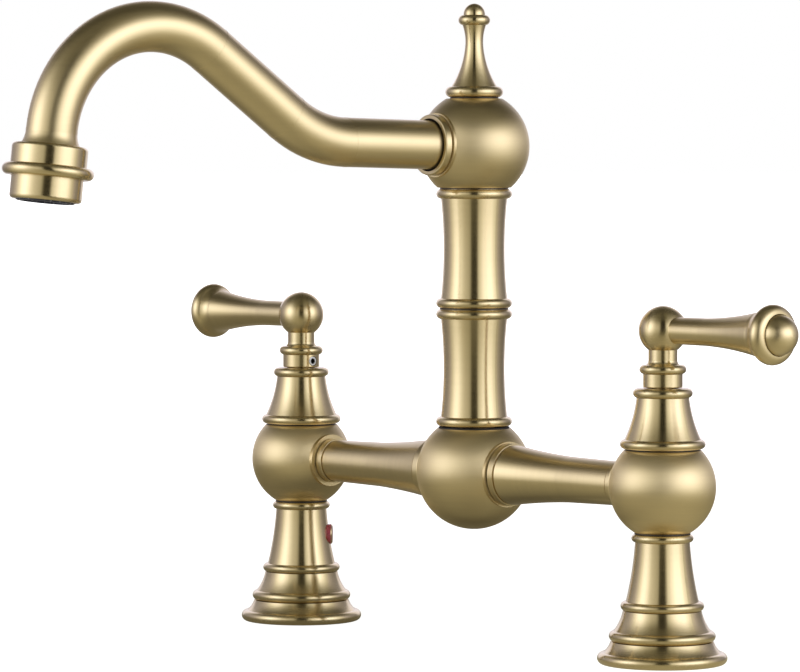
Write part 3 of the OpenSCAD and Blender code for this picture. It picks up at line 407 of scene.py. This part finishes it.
def brushed_brass(name, centre, rough, blur, blur_turn=0.25, axis="Z", turn=(0, 0, 0),
                  joints=(), inside=0, colour=satin_brass):
    """Lacquered brass brushed round its own axis. The joints are (low, high) along the axis,
    from the centre, and get a thin dark line, partly polish left in them and partly painted
    shade; a surface nearer to the axis than inside is painted dark too, as painted shade."""
    made, tree, bsdf = new_finish(name)
    bsdf.inputs["Metallic"].default_value = 1
    bsdf.inputs["Coat Weight"].default_value = 0.2
    bsdf.inputs["Coat Roughness"].default_value = 0.15
    own = own_position(tree, centre, turn)
    marks = lathe_marks(tree, own)
    colour = blend_colours(tree, "MULTIPLY", colour, marks["Tone"])
    roughness = reckon(tree, "ADD", marks["Rough Shift"], rough)
    lines = []
    if joints:
        parts = tree.nodes.new("ShaderNodeSeparateXYZ")
        tree.links.new(own, parts.inputs[0])
        lines = [line_mask(tree, parts.outputs["Z"], low, high) for low, high in joints]
    if inside:
        lines.append(line_mask(tree, from_axis(tree, own), 0, inside))
    if lines:
        dark = lines[0]
        for line in lines[1:]:
            dark = reckon(tree, "MAXIMUM", dark, line)
        # joints and deep insides are painted dark: painted shade, with polish left in the joints
        colour = blend_colours(tree, "MIX", colour, joint_dirt_and_shade, dark)
        roughness = reckon(tree, "ADD", roughness, reckon(tree, "MULTIPLY", dark, 0.3))
        tree.links.new(reckon(tree, "SUBTRACT", 1, dark), bsdf.inputs["Metallic"])
    tree.links.new(colour, bsdf.inputs["Base Color"])
    tree.links.new(roughness, bsdf.inputs["Roughness"])
    emboss(tree, marks["Height"], strength=0.02, depth=0.00002)
    if blur:
        bsdf.inputs["Anisotropic"].default_value = blur
        bsdf.inputs["Anisotropic Rotation"].default_value = blur_turn
        tangent = tree.nodes.new("ShaderNodeTangent")
        tangent.direction_type = "RADIAL"
        tangent.axis = axis
        tree.links.new(tangent.outputs[0], bsdf.inputs["Tangent"])
    return made


def groove_below(face):
    """The dark line at a joint whose face is the piece's upper or outer end."""
    return face - joint_groove, face + joint_reach


def groove_above(face):
    """The dark line at a joint whose face is the piece's lower or inner end."""
    return face - joint_reach, face + joint_groove


def dress(material, *names):
    """Gives CAD pieces their finish."""
    for name in names:
        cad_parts[name].data.materials.clear()
        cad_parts[name].data.materials.append(material)


for side, at in sides:
    dress(
        brushed_brass(f"{side}_leg_brass", (at, 0, 0), turned_rough, turned_blur,
                      joints=[groove_below(leg_top)]),
        f"{side}_leg",
    )

# Valve balls. Turned brass balls over the legs, each bored for the riser, the
# cartridge and the bridge, and rubbed to an even satin all over.
bridge_height = middle("right_bridge_tube", 2)
# a lighter copy of satin_brass for the lower balls: painted light, standing in for brighter light on
# them
rubbed_brass_painted_lighter = (0.775, 0.635, 0.36, 1)
ball_rough, ball_blur = 0.4, 0.75
for side, at in sides:
    dress(
        brushed_brass(f"{side}_ball_brass", (at, 0, bridge_height), ball_rough, ball_blur,
                      blur_turn=0, colour=rubbed_brass_painted_lighter),
        f"{side}_ball",
    )

# Bonnets. Turned brass bells screwed down over the cartridges, each between
# its foot ring and its top ring.
bonnet_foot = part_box("right_bonnet")[0][2]
for side, at in sides:
    dress(
        brushed_brass(f"{side}_bonnet_brass", (at, 0, 0), turned_rough, turned_blur,
                      joints=[groove_above(bonnet_foot)]),
        f"{side}_bonnet",
    )

# Handles. A turned hub with a ball on its neck takes the lever's stud. The
# lever swells to a rolled flange, and a ball-shaped knob fills the flange.
hub_base = 0.1  # the hub's brushing is laid from here up
lever_height = middle("right_lever", 2)
lever_rough, lever_blur = 0.3, 0.5
on_its_side = math.radians(90)
for side, at in sides:
    dress(
        brushed_brass(f"{side}_hub_brass", (at, 0, hub_base), turned_rough, turned_blur),
        f"{side}_hub",
    )
    dress(
        brushed_brass(f"{side}_lever_brass", (at, 0, lever_height), lever_rough, lever_blur,
                      axis="X", turn=(0, on_its_side, 0)),
        f"{side}_lever", f"{side}_lever_knob",
    )

# Bridge. Two turned tubes screwed between the valve balls and the centre
# ball, which is turned and rubbed as the valve balls are.
centre_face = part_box("centre_ball")[1][0]
leg_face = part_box("right_ball")[0][0]
centre_ball_rough = 0.43
for side, way in (("left", -1), ("right", 1)):
    dress(
        brushed_brass(f"{side}_bridge_brass", (0, 0, bridge_height), lever_rough, lever_blur,
                      axis="X", turn=(0, way * on_its_side, 0),
                      joints=[groove_above(centre_face), groove_below(leg_face)]),
        f"{side}_bridge_tube",
    )
dress(
    brushed_brass("centre_ball_brass", (0, 0, bridge_height), centre_ball_rough, ball_blur,
                  blur_turn=0, colour=rubbed_brass_painted_lighter),
    "centre_ball",
)

# Column. Two turned brass halves, drawn in between their rings, screwed end to
# end and swivelling on the centre ball. Each half's upper end has a dark line.
for half in ("lower", "upper"):
    column_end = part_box(f"column_{half}")[1][2]
    dress(
        brushed_brass(f"column_{half}_brass", (0, 0, 0), turned_rough, turned_blur,
                      joints=[groove_below(column_end)]),
        f"column_{half}",
    )

# Top ball and finial. The brass ball is turned and rubbed like the others, in
# the plain satin brass without their painted light, with a boss for the spout;
# the finial is screwed in on top.
spout_height = 0.1893
ball_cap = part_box("top_ball")[1][2]
dress(
    brushed_brass("top_ball_brass", (0, 0, spout_height), ball_rough, ball_blur, blur_turn=0),
    "top_ball",
)
dress(
    brushed_brass("finial_brass", (0, 0, 0), turned_rough, turned_blur,
                  joints=[groove_above(ball_cap)]),
    "finial",
)

# Spout. Drawn brass tube, bent, linished along its length and opened out at
# its mouth. A collar hides its end, with a deep gap round the tube whose inside is painted dark:
# painted shade.
spout_rise, spout_turn = 1.5, -96  # degrees up from level, and round from the right
spout_way = (0, math.radians(90 - spout_rise), math.radians(spout_turn))
tube_rough = 0.33
tube_radius = 0.00925
collar_gap = 0.0008
dress(brushed_brass("spout_brass", (0, 0, spout_height), tube_rough, 0), "spout_tube")
# the collar's inside, nearer the tube than its gap, is painted dark: painted shade
dress(
    brushed_brass("spout_collar_brass", (0, 0, spout_height), lever_rough, lever_blur,
                  axis="Y", turn=spout_way, inside=tube_radius + collar_gap),
    "spout_collar",
)

# Nozzle. A turned brass piece screwed on the spout's mouth, with a half-round
# ring and a tip that holds the aerator.
nozzle_middle = tuple(middle("nozzle", way) for way in range(3))
dress(brushed_brass("nozzle_brass", nozzle_middle, turned_rough, turned_blur), "nozzle")

# Index buttons. Round buttons of fired enamel, red on the hot leg and blue on
# the cold one, each in a thin bright bezel let into the back of its leg.
button_height = 0.0345
button_turn = math.radians(45)  # from straight back towards the middle of the tap
bezel_inner, bezel_outer = 0.0036, 0.00395
enamel_red = (0.62, 0.1, 0.15, 1)
enamel_blue = (0.05, 0.14, 0.5, 1)
for name, way, glaze in (("hot", -1, enamel_red), ("cold", 1, enamel_blue)):
    enamel, tree, bsdf = new_finish(f"{name}_enamel")
    bsdf.inputs["Coat Weight"].default_value = 0.8
    bsdf.inputs["Coat Roughness"].default_value = 0.05
    own = own_position(tree, (way * leg_axis, 0, button_height),
                       (0, on_its_side, math.radians(90) + way * button_turn))
    bezel = line_mask(tree, from_axis(tree, own), bezel_inner, bezel_outer)
    cloud = add_noise(tree, own, (900, 900, 900), 3)
    colour = blend_colours(tree, "MULTIPLY", glaze, lean(tree, cloud, 0.92, 0.16))
    colour = blend_colours(tree, "MIX", colour, satin_brass, bezel)
    tree.links.new(colour, bsdf.inputs["Base Color"])
    tree.links.new(bezel, bsdf.inputs["Metallic"])
    tree.links.new(lean(tree, cloud, 0.25, 0.06), bsdf.inputs["Roughness"])
    dress(enamel, f"{name}_button")

# Set screws. Socket screws of stainless steel that hold each hub to its stem
# and the column in the centre ball; their hexagon sockets are dark inside.
socket_radius = 0.00112
screw_steel = (0.62, 0.62, 0.61, 1)
socket_shade = (0.03, 0.028, 0.026, 1)
screw_rough = 0.3
sideways = (0, on_its_side, 0)
backwards = (0, on_its_side, math.radians(90))
screws = (
    ("left_handle_screw", -leg_axis, sideways),
    ("right_handle_screw", leg_axis, sideways),
    ("swivel_screw", 0, backwards),
)
for name, at, turn in screws:
    steel, tree, bsdf = new_finish(f"{name}_steel")
    own = own_position(tree, (at, 0, middle(name, 2)), turn)
    marks = lathe_marks(tree, own)
    socket = line_mask(tree, from_axis(tree, own), 0, socket_radius)
    colour = blend_colours(tree, "MULTIPLY", screw_steel, marks["Tone"])
    colour = blend_colours(tree, "MIX", colour, socket_shade, socket)
    tree.links.new(colour, bsdf.inputs["Base Color"])
    tree.links.new(reckon(tree, "SUBTRACT", 1, socket), bsdf.inputs["Metallic"])
    tree.links.new(reckon(tree, "ADD", marks["Rough Shift"], screw_rough), bsdf.inputs["Roughness"])
    dress(steel, name)

# Aerator. A dark moulded housing with a perforated insert, screwed up into the
# nozzle, with pale specks round its holes that are painted highlights. The column's
# slip ring is moulded too, in plain black nylon.
housing_blue = (0.028, 0.03, 0.055, 1)
insert_blue = (0.05, 0.055, 0.095, 1)
nylon_black = (0.02, 0.017, 0.014, 1)
painted_glint_grey = (0.5, 0.5, 0.54, 1)
glint_edge = 0.62  # the noise has painted highlight specks where it is over this


def moulded_plastic(name, colour, rough, glint_share=0):
    """Dull moulded plastic with a fine grain and, where asked for, pale specks on it: painted
    highlights.
    """
    made, tree, bsdf = new_finish(name)
    own = own_position(tree, nozzle_middle)
    grain = add_noise(tree, own, (2600, 2600, 2600), 2)
    cloud = add_noise(tree, own, (260, 260, 260), 3)
    shade = blend_colours(tree, "MULTIPLY", colour, lean(tree, cloud, 0.95, 0.3))
    if glint_share:
        # pale specks: painted highlights
        speck = add_noise(tree, own, (1100, 1100, 1100), 1)
        speck = reckon(tree, "GREATER_THAN", speck, glint_edge)
        speck = reckon(tree, "MULTIPLY", speck, glint_share)
        shade = blend_colours(tree, "MIX", shade, painted_glint_grey, speck)
    tree.links.new(shade, bsdf.inputs["Base Color"])
    tree.links.new(lean(tree, cloud, rough, 0.12), bsdf.inputs["Roughness"])
    emboss(tree, grain, strength=0.25, depth=0.00004)
    return made


dress(moulded_plastic("aerator_moulding", housing_blue, rough=0.38, glint_share=0.5), "aerator_housing")
dress(moulded_plastic("aerator_insert", insert_blue, rough=0.34, glint_share=0.7), "aerator_screen")
dress(moulded_plastic("swivel_nylon", nylon_black, rough=0.55), "slip_ring")

# Seals. Moulded black rubber: the foot gaskets and washers, the rings of the
# bridge, the cartridges and the swivel, and the flat seals of the spout.
rubber_black = (0.016, 0.016, 0.017, 1)
rubber_bloom = (0.07, 0.068, 0.064, 1)
rubber, tree, bsdf = new_finish("seal_rubber_black")
bsdf.inputs["Specular IOR Level"].default_value = 0.35
own = own_position(tree, (0, 0, 0))
bloom = add_noise(tree, own, (180, 180, 180), 4)
grain = add_noise(tree, own, (3000, 3000, 3000), 2)
colour = blend_colours(tree, "MIX", rubber_black, rubber_bloom, reckon(tree, "MULTIPLY", bloom, 0.5))
tree.links.new(colour, bsdf.inputs["Base Color"])
tree.links.new(lean(tree, bloom, 0.68, 0.15), bsdf.inputs["Roughness"])
emboss(tree, grain, strength=0.3, depth=0.00005)
dress(rubber, "foot_gaskets", "rubber_washers", "cartridge_seals", "bridge_seals",
      "swivel_seal", "spout_seal", "aerator_seal")

# Ceramic discs. Two lapped discs of alumina in each cartridge, off-white and
# nearly polished; one stays in the cartridge, the other turns with the stem.
alumina_pale, alumina_deep = (0.8, 0.77, 0.7, 1), (0.7, 0.66, 0.58, 1)
alumina, tree, bsdf = new_finish("lapped_alumina")
own = own_position(tree, (0, 0, 0))
cloud = add_noise(tree, own, (500, 500, 500), 3)
lap = add_noise(tree, own, (4000, 900, 4000), 2)
colour = blend_colours(tree, "MIX", alumina_pale, alumina_deep, cloud)
tree.links.new(colour, bsdf.inputs["Base Color"])
tree.links.new(lean(tree, lap, 0.16, 0.08), bsdf.inputs["Roughness"])
dress(alumina, "left_fixed_disc", "right_fixed_disc", "left_moving_disc", "right_moving_disc")

# Machined brass out of sight. Cartridges, stems, nipples and the swivel shank
# are plain turned brass, uncoated, yellower and a little tarnished.
bare_brass = (0.62, 0.45, 0.19, 1)
tarnish = (0.3, 0.2, 0.09, 1)


def machined(name, colour, film, at, rough=0.26):
    """Bare turned metal: tool rings round an upright axis, under a thin uneven film."""
    made, tree, bsdf = new_finish(name)
    bsdf.inputs["Metallic"].default_value = 1
    own = own_position(tree, (at, 0, 0))
    marks = lathe_marks(tree, own)
    stain = add_noise(tree, own, (140, 140, 140), 4)
    spread = reckon(tree, "MULTIPLY", reckon(tree, "POWER", stain, 3), 2.2)
    shade = blend_colours(tree, "MIX", colour, film, spread)
    shade = blend_colours(tree, "MULTIPLY", shade, marks["Tone"])
    tree.links.new(shade, bsdf.inputs["Base Color"])
    tree.links.new(lean(tree, stain, rough, 0.12), bsdf.inputs["Roughness"])
    emboss(tree, marks["Height"], strength=0.3, depth=0.00004)
    return made


for side, at in sides:
    dress(machined(f"{side}_valve_brass", bare_brass, tarnish, at),
          f"{side}_cartridge_body", f"{side}_stem")
dress(machined("column_core_brass", bare_brass, tarnish, 0),
      "swivel_shank", "column_joiner", "top_nipple")

# Shanks. One brass piece under each leg: the inlet thread for the supply hose,
# the mounting thread that the lock nut runs on, and the plain riser above.
shank_low, shank_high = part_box("right_shank")[0][2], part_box("right_shank")[1][2]
mounting = {"crest": 0.012, "pitch": 0.0015, "low": -0.044, "high": 0.014}
inlet = {"crest": 0.0104775, "pitch": 0.001814, "low": shank_low, "high": -0.043}
thread_depth = 0.6134  # of the pitch
crest_start, crest_end = 0.42, 0.58  # of the pitch
spare_turns = 2  # past each end, to be cut off
turn_steps = 40
riser_radius, riser_low, riser_chamfer = 0.0065, 0.01, 0.0004
bore_radius, bore_reach = 0.0045, 0.07
weld = 1e-6


def threaded_bar(crest, pitch, low, high):
    """A closed bar with a cut thread: a thread's outline screwed round the axis, cut off flat."""
    root = crest - thread_depth * pitch
    deselect_all()
    # a circle's four corners become the outline of one turn, and its closing edge goes
    bpy.ops.mesh.primitive_circle_add(vertices=4, radius=pitch / 2, fill_type="NOTHING")
    bar = bpy.context.object
    outline = ((root, 0), (crest, crest_start), (crest, crest_end), (root, 1))
    for corner, (reach, share) in zip(bar.data.vertices, outline):
        corner.co = (reach, 0, low + (share - spare_turns) * pitch)
    for edge in bar.data.edges:
        edge.select = set(edge.vertices) == {0, 3}
    for corner in bar.data.vertices:
        corner.select = corner.index in (0, 3)
    bpy.ops.object.mode_set(mode="EDIT")
    bpy.ops.mesh.select_mode(type="EDGE")
    bpy.ops.mesh.delete(type="EDGE")
    bpy.ops.object.mode_set(mode="OBJECT")
    # the turns are joined to each other, and both ends cut off flat and closed
    turns = bar.modifiers.new("thread", "SCREW")
    turns.screw_offset = pitch
    turns.iterations = math.ceil((high - low) / pitch) + 2 * spare_turns
    turns.steps = turns.render_steps = turn_steps
    turns.use_merge_vertices = True
    turns.merge_threshold = weld
    bpy.ops.object.modifier_apply(modifier=turns.name)
    bpy.ops.object.mode_set(mode="EDIT")
    bpy.ops.mesh.select_mode(type="VERT")
    bpy.ops.mesh.select_all(action="SELECT")
    bpy.ops.mesh.remove_doubles(threshold=weld)
    for height, below in ((low, True), (high, False)):
        bpy.ops.mesh.select_all(action="SELECT")
        bpy.ops.mesh.bisect(plane_co=(0, 0, height), plane_no=(0, 0, 1), use_fill=True,
                            clear_inner=below, clear_outer=not below, threshold=weld)
    bpy.ops.mesh.select_all(action="SELECT")
    bpy.ops.mesh.normals_make_consistent(inside=False)
    bpy.ops.object.mode_set(mode="OBJECT")
    return bar


def plain_bar(radius, low, high, chamfer=0):
    """A round bar, with broken edges where asked for."""
    deselect_all()
    bpy.ops.mesh.primitive_cylinder_add(vertices=64, radius=radius, depth=high - low,
                                        location=(0, 0, (low + high) / 2))
    bar = bpy.context.object
    bpy.ops.object.transform_apply(location=True, rotation=False, scale=False)
    if chamfer:
        edges = bar.modifiers.new("edges", "BEVEL")
        edges.width = chamfer
        edges.segments = 2
        bpy.ops.object.modifier_apply(modifier=edges.name)
    return bar


def combine(bar, other, way):
    """Adds the other solid to the bar, or takes it away, and drops the other."""
    cut = bar.modifiers.new("combine", "BOOLEAN")
    cut.operation = way
    cut.solver = "EXACT"
    cut.object = other
    deselect_all()
    bar.select_set(True)
    bpy.context.view_layer.objects.active = bar
    bpy.ops.object.modifier_apply(modifier=cut.name)
    bpy.data.objects.remove(other, do_unlink=True)


shank = threaded_bar(**mounting)
combine(shank, threaded_bar(**inlet), "UNION")
combine(shank, plain_bar(riser_radius, riser_low, shank_high, riser_chamfer), "UNION")
combine(shank, plain_bar(bore_radius, -bore_reach, bore_reach), "DIFFERENCE")
bpy.ops.object.shade_smooth_by_angle(angle=math.radians(25))
twin = shank.copy()
twin.data = shank.data.copy()
bpy.context.collection.objects.link(twin)
for piece, side, at in ((twin, "left", -leg_axis), (shank, "right", leg_axis)):
    piece.name = f"{side}_shank_cut"
    deselect_all()
    piece.location = (at, 0, 0)
    piece.select_set(True)
    bpy.context.view_layer.objects.active = piece
    bpy.ops.object.transform_apply(location=True, rotation=False, scale=False)
    piece.data.materials.append(machined(f"{side}_shank_brass", bare_brass, tarnish, at))
    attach(piece, "body")
    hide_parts(f"{side}_shank")

# Fixings under the worktop. Hexagon lock nuts of brass draw each leg down on
# its rubber and steel washers.
washer_steel = (0.6, 0.6, 0.6, 1)
washer_film = (0.34, 0.33, 0.31, 1)
dress(machined("lock_nut_brass", bare_brass, tarnish, 0, rough=0.32), "lock_nuts")
dress(machined("washer_steel", washer_steel, washer_film, 0, rough=0.34), "steel_washers")
